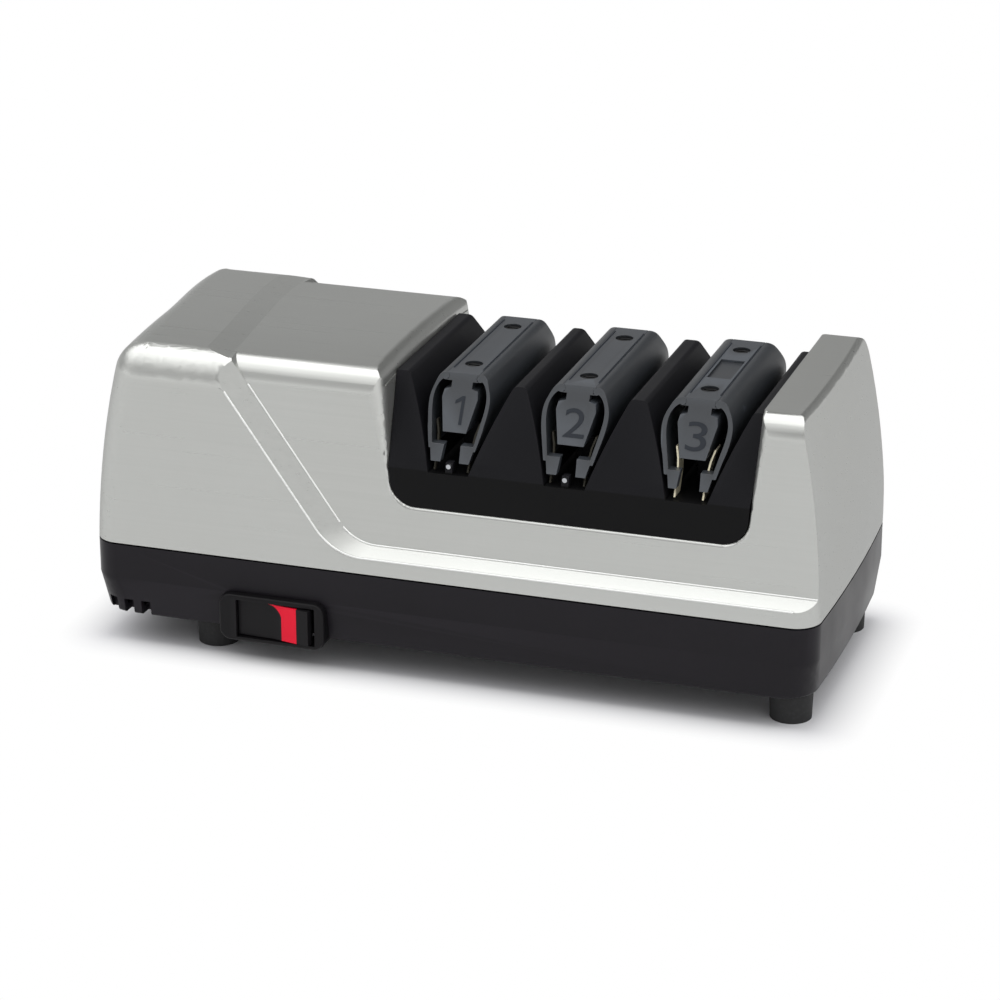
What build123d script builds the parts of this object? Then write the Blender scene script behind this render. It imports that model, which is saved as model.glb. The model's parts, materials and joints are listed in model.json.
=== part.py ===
from build123d import *

import math
import os

# Three-stage electric knife sharpener.
# Millimetres. X runs along the length, Y from the switch side (-) to the rear (+), Z up.
# The origin is on the table, under the middle of the body.

# ---------------------------------------------------------------- driving dimensions
LENGTH = 253.0
WIDTH = 107.6
BASE_BOTTOM_Z = 11.0
CREASE_Z = 24.5
PARTING_Z = 36.5
PARTING_GAP = 0.6
BLOCK_TOP_Z = 107.3
TOWER_TOP_Z = 104.3
CROWN_RADIUS = 560.0
END_BOW = 1.6
FRONT_LEAN = 0.05
COVER_WALL = 2.4
TRAY_WALL = 2.6
TRAY_FLOOR_Z = BASE_BOTTOM_Z + TRAY_WALL
TONGUE_TOP_Z = PARTING_Z + 3.0
POST_Z = PARTING_Z + 2.2

# height, inset of each end, inset of each side, corner radius on the left and on the right
COVER_SECTIONS = (
    (PARTING_Z + PARTING_GAP, 0.0, 0.0, 9.0, 9.0),
    (60.0, 1.2, 1.2, 9.5, 4.2),
    (86.0, 4.7, 2.4, 10.5, 4.0),
    (114.0, 11.4, 3.9, 12.0, 4.0),
)
BLOCK_EDGE_RADIUS = 12.0
PANEL_EDGE_RADIUS = 8.8
TOWER_EDGE_RADIUS = 2.5

# the set-back panel, and the sloping band that leads to it from the outer skin
PANEL_DEPTH = 4.5
PANEL_DROP = 1.2
BAND_ANGLE = 54.2
BAND_WIDTH = 6.5
BAND_FOOT_X = -38.0
BAND_TOP_RUN = 9.0
BEND_RADIUS = 20.0
LEDGE_Z = 42.5
LEDGE_RISE = 3.3

# the bay that holds the guide housing
BAY_FLOOR_Z = 60.4
BAY_LEFT_X = -19.2
BAY_RIGHT_X = 100.6
BAY_LEFT_DRAFT = 0.09
BAY_RIGHT_DRAFT = 0.06
BAY_CORNER = 9.0
BAY_FIT = 0.2
BAY_LEFT_ROUND = 7.0
BAY_RIGHT_ROUND = 6.0
BAY_LIP_ROUND = 1.4
ROOF_EDGE_RADIUS = 5.0
SLIM = math.sqrt(0.5)

# the three stages
STAGE_X = (0.3, 39.8, 80.4)
SLANT = math.tan(math.radians(30))
SLANT_Y = 31.0
SLANT_Z = 102.3
FLOOR_Z = 73.0
STRIP_Y = 47.4
RIDGE_Z = 100.3
LEFT_RIDGE_Z = 101.6
RIDGE_ROUND = 1.9

# half-width of a channel at three heights, for its slightly hollow flanks
CHANNEL_FLANK = ((6.8, FLOOR_Z), (11.6, 86.6), (17.7, 100.2))
FLANK_END_SLOPE = 0.5

# guides
GUIDE_TOP_Z = 102.5
CAP_THICK = 2.3
HINGE_X = 5.9
KNUCKLE = 1.15
RUNNING_GAP = 0.06
ARM_REACH = (10.3, 11.1, 11.6)
ARM_END_Z = 80.4
PLATE_HALF = (6.1, 6.7, 6.6)
PLATE_BOTTOM_Z = 85.4
FOOT_BOTTOM_Z = 76.7
FOOT_TOP_Z = 81.8
FOOT_OUTER_X = 7.7
FOOT_INNER_X = (2.8, 2.8, 3.4)
FOOT_DEPTH = 3.4
SCREW_Y = 20.5
HINGE_Z = GUIDE_TOP_Z - KNUCKLE
HEAD_SEAT_Z = GUIDE_TOP_Z - 1.8
LEAF_X = (5.4, 5.4, 4.4)
LEAF_THICK = 0.6
LEAF_WIDTH = (1.6, 1.6, 6.0)
PIN_Z = 75.6

# drive line
SHAFT_Z = 50.0
SHAFT_RADIUS = 4.0
DISC_RADIUS = 21.6
BUSH_RADIUS = 7.0
DRIVE_PIN_RADIUS = 1.5
PIN_OFFSET = 7.0
STATOR_X = (-88.0, -56.0)
STATOR_HALF = 33.0
STATOR_DROP = 28.0
STATOR_BORE = 20.3
BOLT_Y = 29.6
BOLT_DZ = 23.6
LEFT_BRACKET = (-98.0, -95.0)
RIGHT_BRACKET = (-49.0, -46.0)
ROTOR_RADIUS = 19.6
FAN_RADIUS = 25.0
BEARING_X = (99.0, 105.0)
BEARING_PAD_Z = 18.0
BEARING_SCREW_Y = 17.0

# switch on the front of the base
BEZEL = (-78.0, -40.5, 8.5, 25.0)
BEZEL_FRONT_Y = -57.0
BEZEL_BACK_Y = -48.5
BEZEL_CORNER = 4.0
ROCKER_X = -57.7
ROCKER_Z = 16.7
ROCKER_LENGTH = 26.2
ROCKER_HEIGHT = 12.4
ROCKER_FRONT_Y = -57.0
ROCKER_PIVOT_Y = -50.9
ROCKER_TILT = 7.0
SWITCH_GAP = 0.9
SWITCH_TOP_Z = 23.0
MARKER_X = (-54.9, -49.1)
MARKER_HORN = (4.9, 4.0)

# feet, screws and the rest of the base
FOOT_X = (-85.8, 114.8)
FOOT_Y = 38.8
FOOT_RADIUS = 6.9
CASE_SCREWS = [(x, side * y) for x, y in ((-104.0, 41.5), (112.0, 25.0)) for side in (-1, 1)]
CASE_SCREW_HEAD_Z = 28.5
INLET_X = -88.0
INLET_Z = 24.0
REAR_Y = 58.5
VENT_WIDTH = 3.4
VENT_PITCH = 6.2
VENT_TOP_Z = 16.4

# dressing lever at the rear of stage 3
LEVER_X = STAGE_X[2]
LEVER_Y = 40.0
LEVER_Z = 26.3
LEVER_THICK = 4.2

# clean-out cover under the discs
HATCH_X = (4.0, 92.0)
HATCH_HALF = 17.0
HATCH_FIT = 0.3


# ---------------------------------------------------------------- shape helpers
def block(x0, x1, y0, y1, z0, z1):
    """Solid block between two opposite corners."""
    return Pos((x0 + x1) / 2, (y0 + y1) / 2, (z0 + z1) / 2) * Box(x1 - x0, y1 - y0, z1 - z0)


def rod_x(radius, x0, x1, y=0.0, z=SHAFT_Z):
    """Cylinder along X."""
    return Pos((x0 + x1) / 2, y, z) * Rot(0, 90, 0) * Cylinder(radius, x1 - x0)


def rod_y(radius, y0, y1, x, z):
    """Cylinder along Y."""
    return Pos(x, (y0 + y1) / 2, z) * Rot(90, 0, 0) * Cylinder(radius, y1 - y0)


def rod_z(radius, z0, z1, x, y):
    """Cylinder along Z."""
    return Pos(x, y, (z0 + z1) / 2) * Cylinder(radius, z1 - z0)


def prism_y(face, y0, y1):
    """Extrude a face drawn in XZ from y0 to y1."""
    return extrude(Plane.XZ.offset(-y1) * face, amount=y1 - y0)


def prism_x(face, x0, x1):
    """Extrude a face drawn in YZ from x0 to x1."""
    return extrude(Plane.YZ.offset(x0) * face, amount=x1 - x0)


def turned(*points):
    """Solid of revolution about the drive shaft, from (x, radius) points."""
    face = Plane.XZ * polygon(*[(x, SHAFT_Z + radius) for x, radius in points])
    return revolve(face, Axis((0, 0, SHAFT_Z), (1, 0, 0)))


def polygon(*points):
    """Flat face with straight sides."""
    return make_face(Polyline(*points, close=True))


def near(vertices, x, y):
    """The vertex of a sketch that is nearest to a point."""
    return vertices.sort_by_distance(Vector(x, y, 0))[0]


def both_sides(shape):
    """A shape and its mirror image across the middle plane of the width."""
    return [shape, mirror(shape, Plane.XZ)]


def plan_face(z, end_inset, side_inset, left_corner, right_corner):
    """Plan outline of the body at one height: straight sides, bowed ends, rounded corners."""
    tip = LENGTH / 2 - end_inset
    x = tip - END_BOW
    y = WIDTH / 2 - side_inset
    outline = Curve() + [
        Line((-x, -y), (x, -y)),
        ThreePointArc((x, -y), (tip, 0), (x, y)),
        Line((x, y), (-x, y)),
        ThreePointArc((-x, y), (-tip, 0), (-x, -y)),
    ]
    face = make_face(outline)
    face = fillet(face.vertices().filter_by(lambda v: v.X < 0), left_corner)
    face = fillet(face.vertices().filter_by(lambda v: v.X > 0), right_corner)
    return Pos(0, 0, z) * face


# ---------------------------------------------------------------- cover
def band_x(z):
    """X of the band's outer line at a height, on the outer skin."""
    return BAND_FOOT_X - (z - LEDGE_Z) / math.tan(math.radians(BAND_ANGLE))


def leaning_plane(depth, side=-1):
    """Plane parallel to the front skin (side -1) or the rear skin (side 1), at a depth behind it."""
    origin = (0, side * (WIDTH / 2 - depth), PARTING_Z)
    return Plane(origin=origin, x_dir=(1, 0, 0), z_dir=(0, -1, -side * FRONT_LEAN))


def band_face(share, side, inset):
    """Outline of everything above the band, share 0 on the outer skin and 1 on the panel."""
    ledge = LEDGE_Z + LEDGE_RISE * share
    shift = BAND_WIDTH * share / math.sin(math.radians(BAND_ANGLE))
    foot = band_x(ledge) + shift
    top = BLOCK_TOP_Z + 25
    face = polygon((foot, ledge), (LENGTH, ledge), (LENGTH, top), (band_x(top) + shift, top))
    face = fillet([near(face.vertices(), foot, ledge)], BEND_RADIUS - 4 * share)
    plane = leaning_plane(PANEL_DEPTH * share + inset, side)
    return plane * Pos(-inset / 2, -PARTING_Z - inset, 0) * face


def band_cutter(inset):
    """What the band takes off the outer skin: a sloped mouth on each side and the run between."""
    steps = ((-0.8, -1), (1.0, -1), (1.0, 1), (-0.8, 1))
    return loft([band_face(share, side, inset) for share, side in steps], ruled=True)


def crown(z):
    """Long cylinder whose top is the slightly crowned roof."""
    return Pos(0, 0, z - CROWN_RADIUS) * Rot(0, 90, 0) * Cylinder(CROWN_RADIUS, 3 * LENGTH)


def roof_ramp(inset):
    """What the band takes off the roof: a gentle ramp down to the lower roof, crowned like it."""
    ramp_x = band_x(BLOCK_TOP_Z) - inset / 2
    slope = math.degrees(math.atan(PANEL_DROP / BAND_TOP_RUN))
    above = block(ramp_x - 1, LENGTH, -WIDTH, WIDTH, 90, BLOCK_TOP_Z + 30)
    pivot = Pos(ramp_x, 0, BLOCK_TOP_Z)
    tilted = pivot * Rot(0, slope, 0) * Pos(-ramp_x, 0, -BLOCK_TOP_Z) * crown(BLOCK_TOP_Z - inset)
    return above - tilted - crown(BLOCK_TOP_Z - PANEL_DROP - inset)


def bevel_cutter(inset):
    """Flat 45 degree cut that keeps the wall even behind the rounded front top edge."""
    panel_y = -WIDTH / 2 + PANEL_DEPTH + FRONT_LEAN * (TOWER_TOP_Z - PARTING_Z)
    middle = Pos(0, panel_y + PANEL_EDGE_RADIUS, TOWER_TOP_Z - PANEL_EDGE_RADIUS)
    return middle * Rot(45, 0, 0) * Pos(0, 0, PANEL_EDGE_RADIUS - inset + 50) * Box(3 * LENGTH, 100, 100)


def cover_form(inset):
    """Outer form of the cover, or the same form shrunk by inset for the hollow inside."""
    sections = []
    for z, end_inset, side_inset, left, right in COVER_SECTIONS:
        if inset and not sections:
            z -= 1.0
        sections.append(plan_face(z, end_inset + inset, side_inset + inset, left - inset, right - inset))
    hull = loft(sections)

    skin = hull & crown(BLOCK_TOP_Z - inset) & block(-LENGTH, 0, -WIDTH, WIDTH, 0, 200)
    rim = skin.edges().filter_by(lambda e: e.center().Z > 85 and e.center().X < -1)
    skin = fillet(rim, BLOCK_EDGE_RADIUS - inset)
    skin += hull & block(0, LENGTH, -WIDTH, WIDTH, 0, 60)
    skin = skin - roof_ramp(inset) - band_cutter(inset)

    core = hull & crown(BLOCK_TOP_Z - PANEL_DROP - inset)
    core -= block(BAY_RIGHT_X - 8, LENGTH, -WIDTH, WIDTH, TOWER_TOP_Z - inset, 200)
    core &= block(BAND_FOOT_X - 60, LENGTH, -WIDTH, WIDTH, LEDGE_Z + 0.5, 200)
    outside = leaning_plane(PANEL_DEPTH + inset) * Pos(0, 0, 50) * Box(3 * LENGTH, 3 * LENGTH, 100)
    for cut in both_sides(outside):
        core -= cut
    if inset:
        for cut in both_sides(bevel_cutter(inset)):
            core -= cut
    else:
        tops = core.edges().filter_by(lambda e: e.center().Z > 95 and abs(e.center().Y) > 30)
        core = fillet(tops.filter_by(lambda e: e.center().X < 112), PANEL_EDGE_RADIUS)
        right = core.edges().filter_by(lambda e: e.center().X > 113 and e.center().Z > 60)
        core = fillet(right.filter_by(lambda e: abs(e.center().Y) < 5), TOWER_EDGE_RADIUS)
    return skin + core


def bay_face(grow):
    """Outline of the bay in XZ, wider at the top, grown by the same amount all round."""
    top = BLOCK_TOP_Z + 30
    floor = BAY_FLOOR_Z - grow
    rise = top - floor
    left = BAY_LEFT_X - grow
    right = BAY_RIGHT_X + grow
    face = polygon(
        (left, floor),
        (right, floor),
        (right + BAY_RIGHT_DRAFT * rise, top),
        (left - BAY_LEFT_DRAFT * rise, top),
    )
    corners = [near(face.vertices(), left, floor), near(face.vertices(), right, floor)]
    return fillet(corners, BAY_CORNER + grow)


def corner_cut(x, y, r, side):
    """Flat face that trims a square corner at (x, y) to a radius; the solid lies on side of x, above y."""
    start, end = (x + side * r, y), (x, y + r)
    arc = ThreePointArc(start, (x + side * r * (1 - SLIM), y + r * (1 - SLIM)), end)
    rest = Polyline(end, (x - side, y + r), (x - side, y - 1), (x + side * r, y - 1), start)
    return make_face(Curve() + [arc, rest])


def bay_flare(wall_x, side, draft, round_top, inset):
    """Round-off between a bay wall and the front panel that widens from the lip to the roof."""
    sections = []
    foot_z = BAY_FLOOR_Z + BAY_CORNER
    for z, radius in ((foot_z, BAY_LIP_ROUND - 0.2), (BLOCK_TOP_Z, round_top)):
        x = wall_x + side * (draft * (z - BAY_FLOOR_Z) + inset)
        y = -WIDTH / 2 + PANEL_DEPTH + FRONT_LEAN * (z - PARTING_Z) + inset
        sections.append(Pos(0, 0, z) * corner_cut(x, y, max(radius - inset, 0.3), side))
    return loft(sections, ruled=True)


def bay_flares(inset=0.0):
    """The four round-offs of the bay's mouths, or those of the hollow behind them."""
    left = bay_flare(BAY_LEFT_X, -1, BAY_LEFT_DRAFT, BAY_LEFT_ROUND, inset)
    right = bay_flare(BAY_RIGHT_X, 1, BAY_RIGHT_DRAFT, BAY_RIGHT_ROUND, inset)
    return both_sides(left) + both_sides(right)


def roof_edge_round(inset=0.0):
    """Round-off between the roof and the left wall of the bay, turned about the crown's axis."""
    roof = BLOCK_TOP_Z - PANEL_DROP
    x = BAY_LEFT_X - BAY_LEFT_DRAFT * (roof - BAY_FLOOR_Z) + 0.2 - inset
    face = mirror(corner_cut(x, inset - roof, ROOF_EDGE_RADIUS - inset, -1), Plane.XZ)
    return revolve(Plane.XZ * face, Axis((0, 0, roof - CROWN_RADIUS), (1, 0, 0)))


def round_bay(shell):
    """Round the mouth of the bay: a fine lip all round, wider beside the block and the tower."""
    lip = []
    for edge in shell.edges():
        c = edge.center()
        inside = BAY_LEFT_X - 4 < c.X < BAY_RIGHT_X + 5 and BAY_FLOOR_Z - 2 < c.Z < 94
        if inside and 45 < abs(c.Y) < 50:
            lip.append(edge)
    shell = fillet(lip, BAY_LIP_ROUND) - roof_edge_round()
    for flare in bay_flares():
        shell -= flare
    return shell


def make_cover():
    """Thin moulded casing: stepped outside, even wall, bay with its own walls, screw posts."""
    shell = cover_form(0.0) - prism_y(bay_face(0.0), -WIDTH, WIDTH)
    shell = round_bay(shell)
    hollow = cover_form(COVER_WALL) - prism_y(bay_face(COVER_WALL), -WIDTH, WIDTH)
    hollow -= roof_edge_round(COVER_WALL)
    for flare in bay_flares(COVER_WALL):
        hollow -= flare
    shell -= hollow
    shell -= block(BAY_LEFT_X + 9, BAY_RIGHT_X - 9, -40, 40, 50, BAY_FLOOR_Z + 1)
    for x, y in CASE_SCREWS:
        shell += rod_z(4.2, POST_Z, TOWER_TOP_Z, x, y) & hollow
        shell -= rod_z(1.6, 0, 62, x, y)
    return shell


# ---------------------------------------------------------------- base tray
def tray_form(inset, top):
    """Form of the tray: flares from the bottom up to the crease, then straight to the top."""
    bottom = plan_face(BASE_BOTTOM_Z, 1.4 + inset, 1.9 + inset, 12.0 - inset, 12.0 - inset)
    crease = plan_face(CREASE_Z, inset, inset, 9.0 - inset, 9.0 - inset)
    return loft([bottom, crease]) + extrude(crease, amount=top - CREASE_Z)


def make_tray():
    """Base tray: rim tongue, switch pocket, vents, hatch opening, bosses and motor cradle."""
    tray = tray_form(0.0, PARTING_Z)
    tray = fillet(tray.edges().filter_by(lambda e: e.center().Z < BASE_BOTTOM_Z + 0.1), 1.6)
    tray -= tray_form(TRAY_WALL, PARTING_Z + 1) & block(-LENGTH, LENGTH, -WIDTH, WIDTH, TRAY_FLOOR_Z, 60)

    # tongue that rises inside the cover
    for inset, top in ((TRAY_WALL - 0.1, PARTING_Z), (TRAY_WALL + 0.15, TONGUE_TOP_Z)):
        ring = plan_face(33, inset, inset, 9.0 - inset, 9.0 - inset) - plan_face(33, 4.0, 4.0, 5.0, 5.0)
        tray += extrude(ring, amount=top - 33)

    # pocket and window for the switch
    left, right, low, high = BEZEL
    pocket = block(left - 0.1, right + 0.1, -WIDTH, BEZEL_BACK_Y, 0, high + 0.1)
    pocket = fillet(pocket.edges().filter_by(Axis.Y).filter_by(lambda e: e.center().Z > high), BEZEL_CORNER)
    wall = block(left - 2, right + 2, -WIDTH, BEZEL_BACK_Y + 2, BASE_BOTTOM_Z, high + 2)
    tray = tray + (wall & tray_form(TRAY_WALL / 2, PARTING_Z)) - pocket
    x0, x1 = ROCKER_X - ROCKER_LENGTH / 2 - 1, ROCKER_X + ROCKER_LENGTH / 2 + 1
    tray -= block(x0, x1, -WIDTH, BEZEL_BACK_Y + 3, TRAY_FLOOR_Z, SWITCH_TOP_Z + 0.4)

    # vents, open at the bottom
    for n in range(3):
        x = -106.6 - VENT_PITCH * n
        for y0, y1 in ((-WIDTH, -46.8), (46.8, WIDTH)):
            tray -= block(x - VENT_WIDTH / 2, x + VENT_WIDTH / 2, y0, y1, 0, VENT_TOP_Z)
    for n in range(7):
        y = VENT_PITCH * (n - 3)
        tray -= block(-LENGTH, -119, y - VENT_WIDTH / 2, y + VENT_WIDTH / 2, 0, VENT_TOP_Z)

    # screw bosses and foot bosses
    for x, y in CASE_SCREWS:
        tray += rod_z(5.0, BASE_BOTTOM_Z + 1, POST_Z, x, y)
        tray -= rod_z(3.5, 0, CASE_SCREW_HEAD_Z, x, y) + rod_z(1.75, 0, 50, x, y)
    for x, y in foot_places():
        tray += rod_z(3.4, BASE_BOTTOM_Z + 1, TRAY_FLOOR_Z + 4, x, y)
        tray -= rod_z(1.5, 0, 40, x, y)

    # cradle ribs under the motor and pads under the end bearing
    for x in (STATOR_X[0] + 4, STATOR_X[1] - 4):
        rib = block(x - 1.5, x + 1.5, -36, 36, BASE_BOTTOM_Z + 1, 32)
        tray += rib - block(x - 2, x + 2, -STATOR_HALF, STATOR_HALF, SHAFT_Z - STATOR_DROP, 90)
    tray += block(BEARING_X[0] - 2, BEARING_X[1] + 2, -24, 24, BASE_BOTTOM_Z + 1, BEARING_PAD_Z)
    for y in (-BEARING_SCREW_Y, BEARING_SCREW_Y):
        tray -= rod_z(1.25, BASE_BOTTOM_Z + 1.4, 40, sum(BEARING_X) / 2, y)

    # clean-out opening, dressing lever boss and slot, cord inlet
    tray -= block(*HATCH_X, -HATCH_HALF, HATCH_HALF, 0, TRAY_FLOOR_Z + 1)
    tray += rod_z(4.0, BASE_BOTTOM_Z + 1, LEVER_Z - 0.3, LEVER_X, LEVER_Y)
    tray -= rod_z(1.5, 16, 40, LEVER_X, LEVER_Y)
    tray -= block(LEVER_X - 6.5, LEVER_X + 6.5, 45, WIDTH, LEVER_Z - 0.7, LEVER_Z + LEVER_THICK + 0.7)
    tray -= rod_y(5.0, 45, WIDTH, INLET_X, INLET_Z)
    return tray


def foot_places():
    """Plan positions of the four feet."""
    return [(x, y) for x in FOOT_X for y in (-FOOT_Y, FOOT_Y)]


# ---------------------------------------------------------------- guide housing
def slant_y(z, back=0.0):
    """Half-depth between the slanted front and rear ends at a height."""
    return SLANT_Y + (SLANT_Z - z) * SLANT - back


def wedge(back=0.0):
    """Everything between the slanted ends, or as far behind both of them as asked."""
    low, high = 60, 115
    face = polygon(
        (-slant_y(low, back), low),
        (slant_y(low, back), low),
        (slant_y(high, back), high),
        (-slant_y(high, back), high),
    )
    return prism_x(face, -LENGTH, LENGTH)


def channel_face():
    """Section of one channel: flat floor and slightly hollow flanks that open upwards."""
    low, middle, high = CHANNEL_FLANK
    top = RIDGE_Z + 10
    end = (high[0] + FLANK_END_SLOPE * (top - high[1]), top)
    right = [ThreePointArc(low, middle, high), Line(high, end)]
    left = [mirror(edge, Plane.YZ) for edge in right]
    closing = [Line((-low[0], low[1]), low), Line((-end[0], top), end)]
    return make_face(Curve() + right + left + closing)


def make_guide_housing():
    """Black insert of the bay: four hollow fins, three V channels, disc slots and guide posts."""
    form = Pos(0, 0, -BAY_FIT) * prism_y(bay_face(-BAY_FIT), -STRIP_Y, STRIP_Y)
    form &= block(-LENGTH, STAGE_X[0], -WIDTH, WIDTH, 50, LEFT_RIDGE_Z) + block(
        STAGE_X[0], LENGTH, -WIDTH, WIDTH, 50, RIDGE_Z
    )
    for c in STAGE_X:
        form -= Pos(c, 0, 0) * prism_y(channel_face(), -WIDTH, WIDTH)
    ridges = form.edges().filter_by(
        lambda e: e.center().Z > RIDGE_Z - 0.1 and abs(e.center().Y) < 1 and -19 < e.center().X < 99
    )
    form = fillet(ridges, RIDGE_ROUND)
    form &= wedge()

    # hollow under the floor and inside the two middle fins
    form -= block(-14, 96, -42, 42, 0, FLOOR_Z - 3)
    for n in range(2):
        x = (STAGE_X[n] + STAGE_X[n + 1]) / 2
        core = polygon((x - 9.6, FLOOR_Z - 4), (x + 9.6, FLOOR_Z - 4), (x + 2.6, 89.5), (x - 2.6, 89.5))
        form -= prism_y(core, -30, 30)

    for n, c in enumerate(STAGE_X):
        form -= block(c - 6, c + 6, -14, 14, 0, FLOOR_Z + 1)
        for y in (-SCREW_Y, SCREW_Y):
            form += block(c - 2.6, c + 2.6, y - 3, y + 3, FLOOR_Z - 3, PLATE_BOTTOM_Z)
            form -= rod_z(1.3, 74, 100, c, y)
        if n < 2:
            for boss in both_sides(block(c - 1.2, c + 1.2, -46.6, -43, FLOOR_Z - 1, PIN_Z + 1)):
                form += boss & wedge()
            form -= rod_y(0.8, -WIDTH, -44, c, PIN_Z) + rod_y(0.8, 44, WIDTH, c, PIN_Z)
    return form


def make_edge_stop_pins():
    """Round steel pins at both ends of the first two channels, just below the knife's edge."""
    pins = []
    for c in STAGE_X[:2]:
        pin = rod_y(0.8, -slant_y(PIN_Z) - 0.5, -44, c, PIN_Z)
        pins += both_sides(pin)
    return pins


# ---------------------------------------------------------------- guides
def make_guide(n):
    """Cap of one stage: flat top, centre plate, hinge sockets, counterbored screw holes."""
    half = PLATE_HALF[n]
    right = [
        (HINGE_X - 0.5, GUIDE_TOP_Z),
        (HINGE_X - 0.5, GUIDE_TOP_Z - CAP_THICK),
        (0.58 * half, GUIDE_TOP_Z - CAP_THICK),
        (0.58 * half, 98.2),
        (0.93 * half, 97.6),
        (half, 95.3),
        (0.65 * half, PLATE_BOTTOM_Z),
    ]
    left = [(-x, z) for x, z in reversed(right)]
    guide = prism_y(polygon(*right, *left), -WIDTH, WIDTH)
    for x in (-HINGE_X, HINGE_X):
        guide -= rod_y(KNUCKLE + RUNNING_GAP, -WIDTH, WIDTH, x, HINGE_Z)
    guide = guide & wedge()
    for y in (-SCREW_Y, SCREW_Y):
        guide -= rod_z(1.45, 80, 110, 0, y)
        guide -= rod_z(3.0, HEAD_SEAT_Z, 110, 0, y)
    if n == 2:
        guide -= block(-4, 4, -9.5, 9.5, GUIDE_TOP_Z - 0.8, 110)
    return Pos(STAGE_X[n], 0, 0) * guide


def arm_face(n):
    """Section of the right arm: hinge knuckle and a thin wall that bulges out and in to the foot."""
    bulge = (ARM_REACH[n] - HINGE_X) / (ARM_REACH[1] - HINGE_X)
    outside = [(9.5, 99.7), (11.1, 95.0), (10.2, 87.6), (8.3, ARM_END_Z)]
    inside = [(6.9, ARM_END_Z), (8.5, 87.4), (9.6, 95.3), (8.4, 98.9), (6.6, 100.5)]
    outside, inside = [[(HINGE_X + (x - HINGE_X) * bulge, z) for x, z in line] for line in (outside, inside)]
    centre = (HINGE_X, HINGE_Z)
    outer = Spline((HINGE_X, GUIDE_TOP_Z), *outside, tangents=[(1, 0), (-0.26, -1)])
    inner = Spline(*inside, tangents=[(0.25, 1), (-1, 0.3)])
    ends = [Line(outer @ 1, inner @ 0), Line(inner @ 1, centre), Line(centre, outer @ 0)]
    return make_face(Curve() + [outer, inner] + ends)


def make_arm(n, side):
    """Flexible side wall of a guide, with a tapered foot block at each end."""
    wall = prism_y(arm_face(n), -WIDTH, WIDTH) + rod_y(KNUCKLE, -WIDTH, WIDTH, HINGE_X, HINGE_Z)
    inner = FOOT_INNER_X[n]
    face = polygon(
        (inner, FOOT_TOP_Z),
        (FOOT_OUTER_X, FOOT_TOP_Z),
        (FOOT_OUTER_X - 1.2, FOOT_BOTTOM_Z),
        (inner + 0.4, FOOT_BOTTOM_Z),
    )
    arm = (wall & wedge()) + (prism_y(face, -WIDTH, WIDTH) & wedge() - wedge(FOOT_DEPTH))
    if side < 0:
        arm = mirror(arm, Plane.YZ)
    return Pos(STAGE_X[n], 0, 0) * arm


def make_leaf(n, side):
    """Spring strips against the backs of the feet, which press the knife to the channel's flank."""
    x = LEAF_X[n]
    line = [(x, 73.3), (x + 0.1, 80.0), (x + 0.7, 84.3), (x + 1.7, 87.6)]
    back = [(px + LEAF_THICK, pz) for px, pz in reversed(line)]
    strip = prism_y(polygon(*line, *back), -WIDTH, WIDTH)
    strip = strip & wedge(FOOT_DEPTH) - wedge(FOOT_DEPTH + LEAF_WIDTH[n])
    strips = strip.solids()
    if side < 0:
        strips = [mirror(s, Plane.YZ) for s in strips]
    return [Pos(STAGE_X[n], 0, 0) * s for s in strips]


def make_guide_screws():
    """Six screws that hold the guides down on their posts."""
    screws = []
    for c in STAGE_X:
        for y in (-SCREW_Y, SCREW_Y):
            head = rod_z(2.7, HEAD_SEAT_Z, HEAD_SEAT_Z + 1.3, c, y)
            head -= block(c - 2, c + 2, y - 0.4, y + 0.4, HEAD_SEAT_Z + 0.6, 110)
            screws.append(head + rod_z(1.3, 75, HEAD_SEAT_Z, c, y))
    return screws


# ---------------------------------------------------------------- switch
def tilt(shape):
    """Turn the rocker group from neutral to its off position, right end out."""
    pivot = Pos(ROCKER_X, ROCKER_PIVOT_Y, 0)
    return pivot * Rot(0, 0, -ROCKER_TILT) * pivot.inverse() * shape


def make_bezel():
    """Frame around the rocker with a rounded outline and seats for the rocker's stub axles."""
    left, right, low, high = BEZEL
    bezel = block(left, right, BEZEL_FRONT_Y, BEZEL_BACK_Y, low, high)
    bezel = fillet(bezel.edges().filter_by(Axis.Y), BEZEL_CORNER)
    bezel = fillet(bezel.faces().sort_by(Axis.Y)[0].edges(), 1.0)
    half_x = ROCKER_LENGTH / 2 + SWITCH_GAP
    half_z = ROCKER_HEIGHT / 2 + 0.5
    bezel -= block(ROCKER_X - half_x, ROCKER_X + half_x, -WIDTH, 0, ROCKER_Z - half_z, ROCKER_Z + half_z)
    return bezel - rod_z(1.25, ROCKER_Z - half_z - 0.9, ROCKER_Z + half_z + 0.9, ROCKER_X, ROCKER_PIVOT_Y)


def rocker_body():
    """Rocker in its neutral position, without its axles: shallow V front and hollowed back."""
    half = ROCKER_LENGTH / 2
    y = ROCKER_FRONT_Y
    back = [(half, y + 3.4), (3.2, -49.5), (-3.2, -49.5), (-half, y + 3.4)]
    face = polygon((-half, y), (0, y + 0.9), (half, y), *back)
    return Pos(ROCKER_X, 0, ROCKER_Z - ROCKER_HEIGHT / 2) * extrude(face, amount=ROCKER_HEIGHT)


def make_rocker():
    """Rocker with its stub axles and the seat of the red inlay, turned to the off position."""
    half = ROCKER_HEIGHT / 2 + 1.2
    axle = rod_z(1.2, ROCKER_Z - half, ROCKER_Z + half, ROCKER_X, ROCKER_PIVOT_Y)
    return tilt(rocker_body() + axle - marker_form())


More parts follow.
